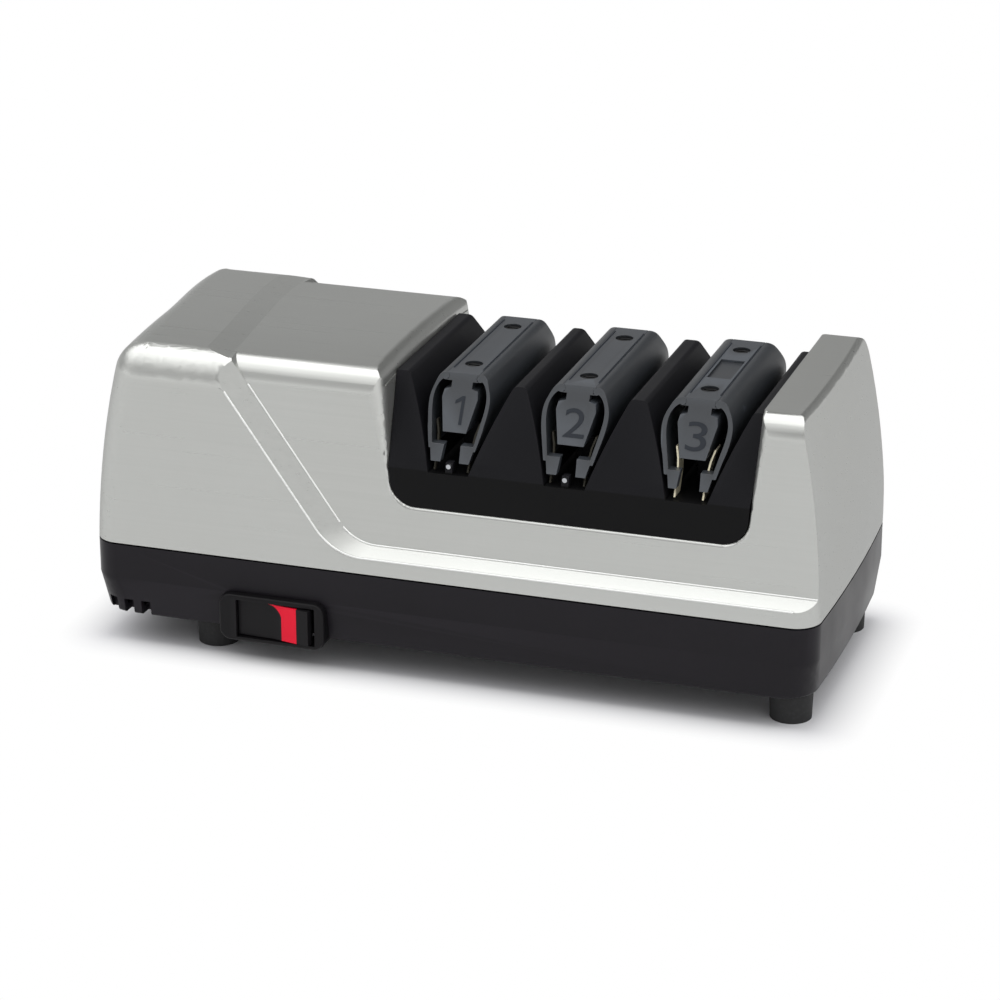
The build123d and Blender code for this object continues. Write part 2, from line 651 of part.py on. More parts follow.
def marker_form():
    """Red inlay in the front skin of the rocker: an upright bar with a curved horn to the left."""
    low = ROCKER_Z - ROCKER_HEIGHT / 2 - 1
    high = ROCKER_Z + ROCKER_HEIGHT / 2
    left, right = MARKER_X
    reach, drop = MARKER_HORN
    tip = (left - reach, high)
    middle = (left - 0.3 * reach, high - 0.4 * drop)
    outline = Curve() + [
        Polyline((left, low), (right, low), (right, high + 1), (left - reach, high + 1), tip),
        ThreePointArc(tip, middle, (left, high - drop)),
        Line((left, high - drop), (left, low)),
    ]
    body = rocker_body()
    return prism_y(make_face(outline), -WIDTH, ROCKER_PIVOT_Y - 3) & body - Pos(0, 1.0, 0) * body


def make_switch_body():
    """Switch unit behind the rocker, with two terminals."""
    body = block(ROCKER_X - 12.6, ROCKER_X + 12.6, BEZEL_BACK_Y + 0.3, -36.5, TRAY_FLOOR_Z, SWITCH_TOP_Z)
    for x in (ROCKER_X - 8, ROCKER_X + 8):
        body += block(x - 0.4, x + 0.4, -37, -29, TRAY_FLOOR_Z + 2, TRAY_FLOOR_Z + 7)
    return body


def make_cord_inlet():
    """Flanged bush in the rear wall with a through hole."""
    bush = rod_y(5.0, 46, WIDTH / 2, INLET_X, INLET_Z) + rod_y(7.0, WIDTH / 2, REAR_Y, INLET_X, INLET_Z)
    return bush - rod_y(3.25, 40, 70, INLET_X, INLET_Z)


# ---------------------------------------------------------------- feet and case screws
def make_foot(x, y):
    """Rubber foot, slightly tapered, with a recess for its screw."""
    foot = Pos(x, y, BASE_BOTTOM_Z / 2) * Cone(FOOT_RADIUS, FOOT_RADIUS + 0.3, BASE_BOTTOM_Z)
    foot = foot & rod_z(FOOT_RADIUS + 0.3, 0, BASE_BOTTOM_Z, x, y)
    return foot - rod_z(3.4, -1, 5, x, y) - rod_z(1.5, 0, 20, x, y)


def make_foot_screws():
    """Four screws that hold the feet."""
    return [rod_z(3.0, 3.2, 5, x, y) + rod_z(1.5, 5, 16.5, x, y) for x, y in foot_places()]


def make_housing_screws():
    """Four long screws from below that pull the cover down on the tray."""
    screws = []
    for x, y in CASE_SCREWS:
        seat = CASE_SCREW_HEAD_Z
        head = rod_z(3.1, seat - 2.2, seat, x, y) - rod_z(1.4, seat - 3, seat - 1, x, y)
        screws.append(head + rod_z(1.6, seat, 58, x, y))
    return screws


# ---------------------------------------------------------------- motor
def make_stator():
    """Laminated stack with a round bore and four coil slots."""
    stack = block(*STATOR_X, -STATOR_HALF, STATOR_HALF, SHAFT_Z - STATOR_DROP, SHAFT_Z + STATOR_DROP)
    stack = chamfer(stack.edges().filter_by(Axis.X), 5)
    stack -= rod_x(STATOR_BORE, -LENGTH, LENGTH)
    for side_y in (-1, 1):
        for side_z in (-1, 1):
            slot = Pos(-72, side_y * 22, SHAFT_Z + side_z * 14.5) * Box(60, 10, 11)
            stack -= slot
            stack -= rod_x(2.05, -LENGTH, LENGTH, side_y * BOLT_Y, SHAFT_Z + side_z * BOLT_DZ)
    return stack


def make_field_coils():
    """Two rectangular coils that lie in the slots above and below the rotor."""
    outer = block(-94, -50, -26.6, 26.6, 9.6, 19.4)
    outer = fillet(outer.edges().filter_by(Axis.Z), 3)
    coil = outer - block(-88.4, -55.6, -17.6, 17.6, 0, 30)
    coil = Pos(0, 0, SHAFT_Z) * coil
    return [coil, mirror(coil, Plane.XY.offset(SHAFT_Z))]


def make_motor_bracket(x0, x1, stack_x):
    """End plate of the motor: bush hub, air windows and four posts that reach the stack."""
    plate = block(x0, x1, -STATOR_HALF, STATOR_HALF, SHAFT_Z - STATOR_DROP, SHAFT_Z + STATOR_DROP)
    plate = chamfer(plate.edges().filter_by(Axis.X), 5)
    hub_x = sorted((x0 - 2 if x0 < stack_x else x0 - 0.8, x1 + 0.8 if x0 < stack_x else x1 + 2))
    plate += rod_x(BUSH_RADIUS + 2.2, *hub_x)
    plate -= rod_x(BUSH_RADIUS, -LENGTH, LENGTH)
    for y in (-1, 1):
        plate -= block(x0 - 5, x1 + 5, min(y * 12, y * 26), max(y * 12, y * 26), SHAFT_Z - 9, SHAFT_Z + 9)
        for z in (-1, 1):
            post_y, post_z = y * BOLT_Y, SHAFT_Z + z * BOLT_DZ
            ends = sorted((stack_x, x1 if x0 < stack_x else x0))
            plate += block(*ends, post_y - 2.8, post_y + 2.8, post_z - 3.2, post_z + 3.2)
            plate -= rod_x(2.05, -LENGTH, LENGTH, post_y, post_z)
    return plate


def make_motor_bolts():
    """Four through bolts that clamp the brackets on the stack."""
    bolts = []
    for y in (-BOLT_Y, BOLT_Y):
        for dz in (-BOLT_DZ, BOLT_DZ):
            z = SHAFT_Z + dz
            shank = rod_x(2.0, LEFT_BRACKET[0] - 1, RIGHT_BRACKET[1] + 3, y, z)
            head = rod_x(3.4, LEFT_BRACKET[0] - 2.6, LEFT_BRACKET[0], y, z)
            bolts.append(shank + head + rod_x(3.4, RIGHT_BRACKET[1], RIGHT_BRACKET[1] + 2.4, y, z))
    return bolts


def make_bushes():
    """Sintered bushes of both motor brackets and of the end bearing."""
    spans = (
        (LEFT_BRACKET[0] - 2, LEFT_BRACKET[1] + 0.8),
        (RIGHT_BRACKET[0] - 0.8, RIGHT_BRACKET[1] + 2),
        BEARING_X,
    )
    return [rod_x(BUSH_RADIUS, *span) - rod_x(SHAFT_RADIUS + RUNNING_GAP, -LENGTH, LENGTH) for span in spans]


def make_bearing_bracket():
    """Upright that carries the far end of the shaft, on two screwed feet."""
    x0, x1 = BEARING_X
    bracket = block(x0, x1, -11, 11, BEARING_PAD_Z, SHAFT_Z) + rod_x(BUSH_RADIUS + 0.6, x0, x1)
    bracket += block(x0 - 1, x1 + 1, -21, 21, BEARING_PAD_Z, BEARING_PAD_Z + 3)
    bracket -= rod_x(BUSH_RADIUS, -LENGTH, LENGTH)
    for y in (-BEARING_SCREW_Y, BEARING_SCREW_Y):
        bracket -= rod_z(1.35, 0, 40, (x0 + x1) / 2, y)
    return bracket


def make_bracket_screws():
    """Two screws of the end bearing."""
    x = sum(BEARING_X) / 2
    top = BEARING_PAD_Z + 3
    screws = []
    for y in (-BEARING_SCREW_Y, BEARING_SCREW_Y):
        screws.append(rod_z(2.4, top, top + 1.8, x, y) + rod_z(1.25, BASE_BOTTOM_Z + 1.6, top, x, y))
    return screws


# ---------------------------------------------------------------- drive line
def make_shaft():
    """Steel shaft with a cross hole for the drive pin of every disc."""
    shaft = rod_x(SHAFT_RADIUS, -114, 108)
    for c in STAGE_X:
        for side in (-1, 1):
            shaft -= rod_z(DRIVE_PIN_RADIUS, 40, 60, c + side * PIN_OFFSET, 0)
    return shaft


def make_drive_pins():
    """Cross pins that turn the discs and stop them sliding outwards."""
    pins = []
    for c in STAGE_X:
        for side in (-1, 1):
            x = c + side * PIN_OFFSET
            pins.append(rod_z(DRIVE_PIN_RADIUS, SHAFT_Z - 7.5, SHAFT_Z + 7.5, x, 0))
    return pins


def make_rotor():
    """Rotor: slotted stack with end rings and short sleeves, pressed on the shaft."""
    left = [(-92, 4), (-92, 7.5), (-88, 7.5), (-88, ROTOR_RADIUS)]
    right = [(-56, ROTOR_RADIUS), (-56, 7.5), (-52, 7.5), (-52, 4)]
    rotor = turned(*left, *right)
    for n in range(12):
        turn = Pos(0, 0, SHAFT_Z) * Rot(n * 30, 0, 0)
        rotor -= turn * Pos(-72, 0, ROTOR_RADIUS) * Box(40, 2.4, 3)
    return rotor


def make_fan():
    """Cooling fan: hub, back plate and eleven blades."""
    fan = rod_x(8, -112, -102) + rod_x(FAN_RADIUS, -104, -102.5)
    for n in range(11):
        turn = Pos(0, 0, SHAFT_Z) * Rot(n * 360 / 11, 0, 0)
        fan += turn * Pos(-107, 0, 15.5) * Rot(0, 0, 12) * Box(8, 1.2, 17)
    return fan - rod_x(SHAFT_RADIUS, -LENGTH, LENGTH)


def make_disc(n, side):
    """Flexible conical disc: flat inner face, coned abrasive face, grooved drive hub."""
    disc = turned((3, 4.1), (3, DISC_RADIUS), (5, DISC_RADIUS), (7, 9), (8.5, 8), (8.5, 4.1))
    groove = block(PIN_OFFSET - 1.8, 10, -1.8, 1.8, SHAFT_Z - 12, SHAFT_Z + 12)
    disc -= groove
    if side < 0:
        disc = mirror(disc, Plane.YZ)
    return Pos(STAGE_X[n], 0, 0) * disc


def make_disc_spring(n):
    """Stack of four coned spring washers between the two discs of a stage."""
    washers = []
    for k in range(4):
        x = -3.0 + 1.5 * k
        near_hub = k % 2 == 0
        a, b = (x, x + 1.0) if near_hub else (x + 1.0, x)
        washers.append(turned((a, 4.3), (a + 0.5, 4.3), (b + 0.5, 7.4), (b, 7.4)))
    return [Pos(STAGE_X[n], 0, 0) * washer for washer in washers]


# ---------------------------------------------------------------- dressing lever and clean-out cover
def make_lever():
    """Forked lever: tab through the rear wall, two upright arms beside the discs of stage 3."""
    top = LEVER_Z + LEVER_THICK
    lever = block(-4.5, 4.5, LEVER_Y, REAR_Y, LEVER_Z, top) + rod_z(6, LEVER_Z, top, 0, LEVER_Y)
    lever += block(-11, 11, 30, 36, LEVER_Z, top) + block(-4, 4, 34, LEVER_Y, LEVER_Z, top)
    for arm in (block(8.9, 11, 14, 36, LEVER_Z, top), block(8.9, 11, 14, 20, LEVER_Z, 42)):
        lever += [arm, mirror(arm, Plane.YZ)]
    lever = fillet(lever.edges().filter_by(lambda e: e.center().Y > REAR_Y - 0.1), 0.8)
    return Pos(LEVER_X, 0, 0) * (lever - rod_z(1.5 + RUNNING_GAP, 0, 60, 0, LEVER_Y))


def make_dressing_pads():
    """Abrasive pads on the inner faces of the fork arms."""
    pad = block(7.65, 8.9, 14.5, 19.5, 34, 41.5)
    return [Pos(LEVER_X, 0, 0) * pad, Pos(LEVER_X, 0, 0) * mirror(pad, Plane.YZ)]


def make_lever_pin():
    """Pivot pin of the lever with a flat head."""
    top = LEVER_Z + LEVER_THICK
    return rod_z(1.5, 16, top + 0.4, LEVER_X, LEVER_Y) + rod_z(2.8, top + 0.4, top + 1.8, LEVER_X, LEVER_Y)


def make_clean_out_cover():
    """Push-in plate under the discs with a finger ridge."""
    x0, x1 = HATCH_X[0] + HATCH_FIT, HATCH_X[1] - HATCH_FIT
    half = HATCH_HALF - HATCH_FIT
    plate = block(x0, x1, -half, half, BASE_BOTTOM_Z, TRAY_FLOOR_Z)
    plate -= block(x0 + 6, x0 + 18, -9, 9, 0, BASE_BOTTOM_Z + 1.3)
    return plate + block(x0 + 11, x0 + 13, -9, 9, BASE_BOTTOM_Z, TRAY_FLOOR_Z)


def make_dust_magnet():
    """Flat magnet on the clean-out cover that gathers steel dust."""
    return block(36, 60, -7, 7, TRAY_FLOOR_Z, TRAY_FLOOR_Z + 3)


# ---------------------------------------------------------------- export
def save(name, shape):
    """Write one node as STEP."""
    solids = [solid for item in (shape if isinstance(shape, list) else [shape]) for solid in item.solids()]
    for solid in solids:
        if not solid.is_valid:
            print("not valid:", name)
    node = solids[0] if len(solids) == 1 else Compound(solids)
    node.label = name
    export_step(node, f"parts/{name}.step")


os.makedirs("parts", exist_ok=True)

save("cover", make_cover())
save("base_tray", make_tray())
save("guide_housing", make_guide_housing())
save("edge_stop_pins", make_edge_stop_pins())
for n in range(3):
    save(f"guide_{n + 1}", make_guide(n))
    for name, side in (("left", -1), ("right", 1)):
        save(f"guide_{n + 1}_arm_{name}", make_arm(n, side))
        save(f"guide_{n + 1}_leaf_{name}", make_leaf(n, side))
save("guide_screws", make_guide_screws())

save("switch_bezel", make_bezel())
save("switch_rocker", make_rocker())
save("switch_marker", tilt(marker_form()))
save("switch_body", make_switch_body())
save("cord_inlet", make_cord_inlet())

for end, x in zip(("left", "right"), FOOT_X):
    save(f"foot_front_{end}", make_foot(x, -FOOT_Y))
    save(f"foot_rear_{end}", make_foot(x, FOOT_Y))
save("foot_screws", make_foot_screws())
save("housing_screws", make_housing_screws())

save("motor_stator", make_stator())
save("field_coils", make_field_coils())
save("motor_bracket_left", make_motor_bracket(*LEFT_BRACKET, STATOR_X[0]))
save("motor_bracket_right", make_motor_bracket(*RIGHT_BRACKET, STATOR_X[1]))
save("motor_bolts", make_motor_bolts())
save("shaft_bushes", make_bushes())
save("bearing_bracket", make_bearing_bracket())
save("bracket_screws", make_bracket_screws())

save("drive_shaft", make_shaft())
save("drive_pins", make_drive_pins())
save("motor_rotor", make_rotor())
save("cooling_fan", make_fan())
for n, job in enumerate(("grinding", "honing", "stropping")):
    for name, side in (("left", -1), ("right", 1)):
        save(f"{job}_disc_{n + 1}_{name}", make_disc(n, side))
    save(f"disc_spring_{n + 1}", make_disc_spring(n))

save("dressing_lever", make_lever())
save("dressing_pads", make_dressing_pads())
save("lever_pin", make_lever_pin())
save("clean_out_cover", make_clean_out_cover())
save("dust_magnet", make_dust_magnet())
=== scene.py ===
import json
import math

import bmesh
import bpy
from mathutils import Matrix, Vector
from mathutils.bvhtree import BVHTree


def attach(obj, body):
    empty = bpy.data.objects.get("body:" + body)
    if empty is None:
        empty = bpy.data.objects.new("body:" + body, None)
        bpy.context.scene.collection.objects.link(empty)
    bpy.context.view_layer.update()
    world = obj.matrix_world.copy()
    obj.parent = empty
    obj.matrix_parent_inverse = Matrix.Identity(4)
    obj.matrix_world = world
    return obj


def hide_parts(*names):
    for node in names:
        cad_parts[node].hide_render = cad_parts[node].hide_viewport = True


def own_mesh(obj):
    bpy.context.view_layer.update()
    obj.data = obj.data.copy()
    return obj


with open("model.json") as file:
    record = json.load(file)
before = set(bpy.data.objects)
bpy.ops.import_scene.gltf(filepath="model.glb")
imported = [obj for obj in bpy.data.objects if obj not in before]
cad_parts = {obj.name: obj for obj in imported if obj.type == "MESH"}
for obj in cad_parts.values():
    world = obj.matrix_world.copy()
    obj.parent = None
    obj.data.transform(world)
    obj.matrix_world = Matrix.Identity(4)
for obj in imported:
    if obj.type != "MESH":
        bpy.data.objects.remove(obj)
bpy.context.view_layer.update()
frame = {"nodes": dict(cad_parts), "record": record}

# Places and sizes are in metres and angles in degrees, in the frame of the CAD.
scene = bpy.context.scene
nodes = frame["nodes"]
body_of = {n: b for b, members in frame["record"]["behaviour"]["bodies"].items() for n in members}
slot_of = {s["node"]: s["material_slot"] for s in frame["record"]["subparts"]}

SIDES = ("left", "right")
STAGE_X = (0.0003, 0.0398, 0.0804)      # middle of each stage

# Camera, solved from the photograph.
AZIMUTH, ELEVATION = 18.26, 21.16
AIM = Vector((0.00293, -0.00129, 0.04767))
DISTANCE = 1.1425
LENS, SENSOR = 121.17, 36.0             # millimetres

# Insert: painted shade, a darker colour on the strip along its lower front, which changes at the top of the strip.
STRIP_TOP = 0.0735
STRIP_BLEND = 0.0003

# Bevel widths asked for; the guides' plastic has its own. Short edges clamp them all: the arms get 0.08 to 0.13 mm,
# the guides, insert and switch 0.02 to 0.06 mm, and the cover and base almost nothing.
BEVELS = {
    "cover": 0.001, "base_tray": 0.0004, "guide_housing": 0.0004,
    "switch_bezel": 0.0003, "switch_rocker": 0.0003,
}
GUIDE_BEVEL = 0.00026
# The leaves of stages 1 and 2 look dark in the photograph, and those of stage 3 bright.
# Painted shade: these leaves get a darker copy of the leaves' metal.
PAINTED_SHADE_LEAVES = [f"guide_{n}_leaf_{side}" for n in (1, 2) for side in SIDES]

# Welding and merging of CAD meshes.
WELD = 2e-6
FLAT_ANGLE = 0.4

# Turn between two faces from which an edge is sharp, a bend of the cover's walls, or an edge of its roof band.
SHARP_TURN, BEND_TURN, ROOF_TURN = 34, 12, 4
COVER_SHARP_WEIGHT = 0.35

# Where the kinds of edges lie on the cover.
SHORT_EDGE = 0.0006                     # shorter ones aren't bevelled
SHORT_BEAD = 0.0015                     # shorter ones carry no bead
WALL_Y = 0.04                           # the outer walls lie further out than this, front and rear
WALL_FACING = 0.3                       # least part of a wall's normal that points outward
WALL_Z = (0.038, 0.097)
SEAM_Z = (0.065, 0.095)                 # level seams of the loft that stay unbevelled
SEAM_SLOPE, BAND_SLOPE = 0.15, 0.3      # rise over length: at most for a seam, at least for the slanted band
BAND_END_X = -0.036
LEDGE_TOP = 0.052
LEDGE_START_X = (-0.034, 0.092)         # the sharper edges of the ledge's curved start, which carry beads too
LEDGE_START_Z = (0.0395, 0.056)
LEDGE_START_RUN = 0.001
ROOF_BAND_Z, ROOF_BAND_X, ROOF_BAND_Y = 0.1, -0.06, 0.046

# Lean of the band on the roof, and the fuller corner at the roof's rear left: ranges that fade in, and moves in x.
ROOF_Z = 0.085
LEAN_RIGHTWARD, LEAN_LEFTWARD = (-0.118, -0.09), (0.035, 0.07)      # of x, and of minus x
LEAN_REARWARD, LEAN_UPWARD = (-0.045, 0.045), (0.085, 0.106)
LEAN_FRONT, LEAN_REAR = -0.001, -0.0068
CORNER_LEFTWARD = (0.095, 0.106)                                    # of minus x
CORNER_REARWARD, CORNER_UPWARD = (-0.01, 0.04), (0.086, 0.1)
CORNER_MOVE = -0.004

# Fine lines: beads of painted highlight along the cover's bends, and creases of painted shade on the guides' tops.
BEAD_RADIUS, CREASE_RADIUS = 0.00038, 0.00025
CREASE_OFFSET = 0.005                   # to each side of the stage's middle
CREASE_FRONT_Y, CREASE_STEP, CREASE_POINTS = -0.032, 0.0065, 13
CREASE_LIFT = 0.00005
ABOVE_GUIDES, LOWEST_TOP = 0.12, 0.09   # heights: where the rays start, and the lowest hit that is the top

# Stage numbers. The 1 is drawn, in outline points, and each is scaled to its width and height.
ONE = ((0.5, -4.8), (1.5, -4.8), (1.5, 4.8), (0.6, 4.8), (-1.6, 3.2), (-1.6, 2.1), (0.5, 3.2))
DIGIT_WIDTH = (0.0031, 0.0072, 0.0067)
DIGIT_HEIGHT = 0.0096
DIGIT_DEPTH = 0.00004
DIGIT_SHIFT, DIGIT_Y, DIGIT_Z = 0.0003, -0.0371, 0.0919
DIGIT_RIGHT, DIGIT_UP = Vector((1, 0, 0)), Vector((0, 0.5, 0.866))

# Floor: near the object's outline its colour is greyer, a painted shadow, and it keeps the object's shadow; further
# out it is white.
FLOOR_SIZE = 6
OUTLINE = (0.121, 0.046, 0)
PAINTED_SHADOW_REACH = (0.0, 0.05)
WHITE_REACH = (0.002, 0.02)


# ---------------------------------------------------------------- camera
def place_camera():
    """Camera at the photograph's angle: front right, from above."""
    azimuth = math.radians(AZIMUTH)
    elevation = math.radians(ELEVATION)
    away = Vector((
        math.cos(elevation) * math.sin(azimuth),
        -math.cos(elevation) * math.cos(azimuth),
        math.sin(elevation),
    ))
    data = bpy.data.cameras.new("camera")
    data.sensor_width = SENSOR
    data.lens = LENS
    camera = bpy.data.objects.new("camera", data)
    camera.location = AIM + away * DISTANCE
    camera.rotation_euler = away.to_track_quat("Z", "Y").to_euler()
    scene.collection.objects.link(camera)
    scene.camera = camera


# ---------------------------------------------------------------- node helpers
class Nodes:
    """Short way to write a node tree."""

    def __init__(self, tree, clear=True):
        self.tree = tree
        if clear:
            tree.nodes.clear()

    def put(self, socket, value):
        """Link a socket to another one, or set its value."""
        if isinstance(value, bpy.types.NodeSocket):
            self.tree.links.new(value, socket)
        else:
            socket.default_value = value

    def add(self, kind, values=None, **settings):
        node = self.tree.nodes.new(kind)
        for name, value in settings.items():
            setattr(node, name, value)
        for name, value in (values or {}).items():
            self.put(node.inputs[name], value)
        return node

    def noise(self, vector, scale, detail=3.0, rough=0.5):
        values = {"Vector": vector, "Scale": scale, "Detail": detail, "Roughness": rough}
        return self.add("ShaderNodeTexNoise", values).outputs["Fac"]

    def ramp(self, fac, low, high, start, end):
        values = {"Value": fac, "From Min": low, "From Max": high, "To Min": start, "To Max": end}
        return self.add("ShaderNodeMapRange", values).outputs["Result"]

    def mix(self, fac, first, second):
        node = self.add("ShaderNodeMix", data_type="RGBA")
        for name, value in (("Factor", fac), ("A", first), ("B", second)):
            sockets = [s for s in node.inputs if s.name == name and (name == "Factor" or s.type == "RGBA")]
            self.put(sockets[0], value)
        return [s for s in node.outputs if s.type == "RGBA"][0]

    def math(self, operation, first, second):
        return self.add("ShaderNodeMath", {0: first, 1: second}, operation=operation).outputs[0]

    def vector(self, operation, *values):
        return self.add("ShaderNodeVectorMath", dict(enumerate(values)), operation=operation).outputs

    def bump(self, height, strength, distance=0.0002):
        values = {"Height": height, "Strength": strength, "Distance": distance}
        return self.add("ShaderNodeBump", values).outputs[0]

    def coords(self, scale=(1, 1, 1)):
        place = self.add("ShaderNodeTexCoord").outputs["Object"]
        return self.add("ShaderNodeMapping", {"Vector": place, "Scale": scale}).outputs["Vector"]

    def finish(self, shader, **values):
        """Set shader inputs by name, with spaces written as underscores."""
        for name, value in values.items():
            self.put(shader.inputs[name.replace("_", " ")], value)


def linear(value):
    """Scene-linear value of one sRGB channel from 0 to 255."""
    value /= 255
    return value / 12.92 if value <= 0.04045 else ((value + 0.055) / 1.055) ** 2.4


def rgb(red, green, blue):
    """Scene-linear colour of an sRGB colour from 0 to 255."""
    return (linear(red), linear(green), linear(blue), 1.0)


def toned(colour, factor, lift=0.0):
    """Colour made darker or paler, and no brighter than 1."""
    return tuple(min(1, c * factor + lift) for c in colour[:3]) + (1,)


def material(name):
    """New material, its node helper and its shader."""
    made = bpy.data.materials.new(name)
    made.use_nodes = True
    n = Nodes(made.node_tree)
    shader = n.add("ShaderNodeBsdfPrincipled")
    n.add("ShaderNodeOutputMaterial", {"Surface": shader.outputs[0]})
    return made, n, shader


# ---------------------------------------------------------------- materials
def brushed_silver():
    """Silver casing with a fine brushed grain along its length."""
    made, n, shader = material("brushed_silver")
    grain = n.noise(n.coords((6, 900, 900)), 1.0, 4.0, 0.6)
    patch = n.noise(n.coords((14, 14, 14)), 1.0, 2.0)
    base = n.mix(grain, rgb(177, 178, 175), rgb(187, 188, 185))
    n.finish(
        shader, Base_Color=n.mix(n.ramp(patch, 0.3, 0.7, 0.0, 0.35), base, rgb(187, 189, 187)),
        Metallic=0.85, Roughness=n.ramp(grain, 0.2, 0.8, 0.26, 0.33),
        Normal=n.bump(grain, 0.04), Specular_Tint=(0.6, 0.6, 0.6, 1.0),
    )
    return made


def plastic(name, colour, rough=0.5, grain=1600, strength=0.12, edge_wear_and_highlight=1.25, gloss=0.5):
    """Moulded plastic: fine spark-eroded grain, faint tone changes and paler edges: rubbed wear, and where much
    paler, painted highlight.
    """
    made, n, shader = material(name)
    fine = n.noise(n.coords(), grain, 2.0)
    broad = n.noise(n.coords(), 35, 3.0)
    edge = n.ramp(n.add("ShaderNodeNewGeometry").outputs["Pointiness"], 0.52, 0.6, 0.0, 1.0)
    base = rgb(*colour)
    tone = n.mix(n.ramp(broad, 0.35, 0.65, 0.0, 1.0), toned(base, 0.88), base)
    n.finish(
        shader, Base_Color=n.mix(edge, tone, toned(base, edge_wear_and_highlight)),
        Roughness=n.ramp(broad, 0.3, 0.7, rough - 0.04, rough + 0.05),
        Normal=n.bump(fine, strength, 0.0001), Specular_IOR_Level=gloss,
    )
    return made


def insert_plastic():
    """Black insert of the bay, with painted shade: darker along its lower strip."""
    made = plastic("insert_black", (17, 17, 20), 0.5, gloss=0.12)
    n = Nodes(made.node_tree, clear=False)
    colour = n.tree.nodes["Principled BSDF"].inputs["Base Color"]
    tone = colour.links[0].from_socket
    height = n.add("ShaderNodeSeparateXYZ", {"Vector": n.coords()}).outputs["Z"]
    # Painted shade: below the strip's top the colour goes darker.
    lower = n.ramp(height, STRIP_TOP - STRIP_BLEND, STRIP_TOP + STRIP_BLEND, 1.0, 0.0)
    n.put(colour, n.mix(lower, tone, rgb(8, 8, 9)))
    return made


def metal(name, colour, rough=0.3, stretch=(400, 400, 400), metallic=1.0):
    """Bare metal with machining marks."""
    made, n, shader = material(name)
    marks = n.noise(n.coords(stretch), 1.0, 3.0)
    base = rgb(*colour)
    n.finish(
        shader, Base_Color=n.mix(marks, toned(base, 0.8), base), Metallic=metallic,
        Roughness=n.ramp(marks, 0.3, 0.7, rough - 0.05, rough + 0.08), Normal=n.bump(marks, 0.08),
    )
    return made


def striped_metal(name, direction, scale, distortion, dark, pale, rough, strength, distance):
    """Metal in fine layers that repeat along one axis."""
    made, n, shader = material(name)
    values = {"Vector": n.coords(), "Scale": scale, "Distortion": distortion}
    layers = n.add("ShaderNodeTexWave", values, bands_direction=direction).outputs["Fac"]
    n.finish(
        shader, Base_Color=n.mix(layers, rgb(*dark), rgb(*pale)), Metallic=0.8, Roughness=rough,
        Normal=n.bump(layers, strength, distance),
    )
    return made


def rubber(name, colour):
    """Matt rubber with a dusty tone."""
    made, n, shader = material(name)
    fine = n.noise(n.coords(), 900, 4.0)
    base = rgb(*colour)
    n.finish(
        shader, Base_Color=n.mix(n.ramp(fine, 0.5, 0.8, 0.0, 1.0), base, toned(base, 1.6, 0.004)),
        Roughness=0.75, Normal=n.bump(fine, 0.25, 0.0001),
    )
    return made


def abrasive(name, colour, fleck):
    """Abrasive grit: pale and dark grains bonded on a surface."""
    made, n, shader = material(name)
    grit = n.add("ShaderNodeTexVoronoi", {"Vector": n.coords(), "Scale": 2600.0}).outputs["Distance"]
    n.finish(
        shader, Base_Color=n.mix(n.ramp(grit, 0.2, 0.6, 0.0, 1.0), rgb(*colour), rgb(*fleck)),
        Metallic=0.3, Roughness=0.55, Normal=n.bump(grit, 0.5),
    )
    return made


MATERIALS = {
    "brushed_silver": brushed_silver(),
    # Painted highlight: pale metal for the beads along the cover's bends.
    "painted_highlight_edge": metal("painted_highlight_edge", (242, 243, 241), 0.3, (6, 900, 900), 0.8),
    "base_black": plastic("base_black", (25, 23, 27), 0.36, gloss=0.14),
    "insert_black": insert_plastic(),
    # Painted highlight: edges 2.4 times paler than the grey, along the guides' edges.
    "slate_grey": plastic("slate_grey", (37, 40, 44), 0.44, gloss=0.62, edge_wear_and_highlight=2.4),
    "digit_ink": plastic("digit_ink", (34, 37, 42), 0.6, gloss=0.15),
    # Painted shade: a darker, duller copy of spring_strip, for the leaves of stages 1 and 2.
    "painted_shade_strip": metal("painted_shade_strip", (50, 47, 38), 0.6, (900, 60, 60), 0.4),
    "spring_strip": metal("spring_strip", (236, 228, 200), 0.28, (900, 60, 60), 0.6),
    "bright_steel": metal("bright_steel", (190, 192, 196), 0.25),
    "black_steel": metal("black_steel", (30, 30, 32), 0.4),
    "switch_black": plastic("switch_black", (17, 16, 18), 0.42, gloss=0.15),
    "marker_red": plastic("marker_red", (204, 5, 40), 0.4, 1200, 0.05, 1.05, 0.2),
    "foot_rubber": rubber("foot_rubber", (22, 22, 23)),
    "lamination_steel": striped_metal(
        "lamination_steel", "X", 500.0, 0.2, (70, 72, 78), (128, 130, 136), 0.45, 0.3, 0.0002,
    ),
    "coil_copper": striped_metal(
        "coil_copper", "Z", 300.0, 1.2, (88, 38, 18), (190, 104, 58), 0.35, 0.6, 0.0004,
    ),
    "die_cast": metal("die_cast", (158, 160, 162), 0.5, (300, 300, 300)),
    "bush_bronze": metal("bush_bronze", (170, 132, 78), 0.42),
    "fan_plastic": plastic("fan_plastic", (206, 202, 190), 0.5),
    "diamond_disc": abrasive("diamond_disc", (120, 118, 108), (196, 192, 176)),
    "stropping_disc": abrasive("stropping_disc", (118, 96, 80), (150, 132, 112)),
    "dressing_stone": abrasive("dressing_stone", (84, 76, 70), (132, 124, 116)),
    "magnet_black": metal("magnet_black", (40, 40, 42), 0.45, (200, 200, 200), 0.5),
}


# ---------------------------------------------------------------- pieces
def add_piece(name, mesh, look, body):
    """New object with its material and the body it rides on."""
    mesh.materials.clear()
    mesh.materials.append(MATERIALS[look])
    piece = bpy.data.objects.new(name, mesh)
    scene.collection.objects.link(piece)
    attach(piece, body)
    return piece


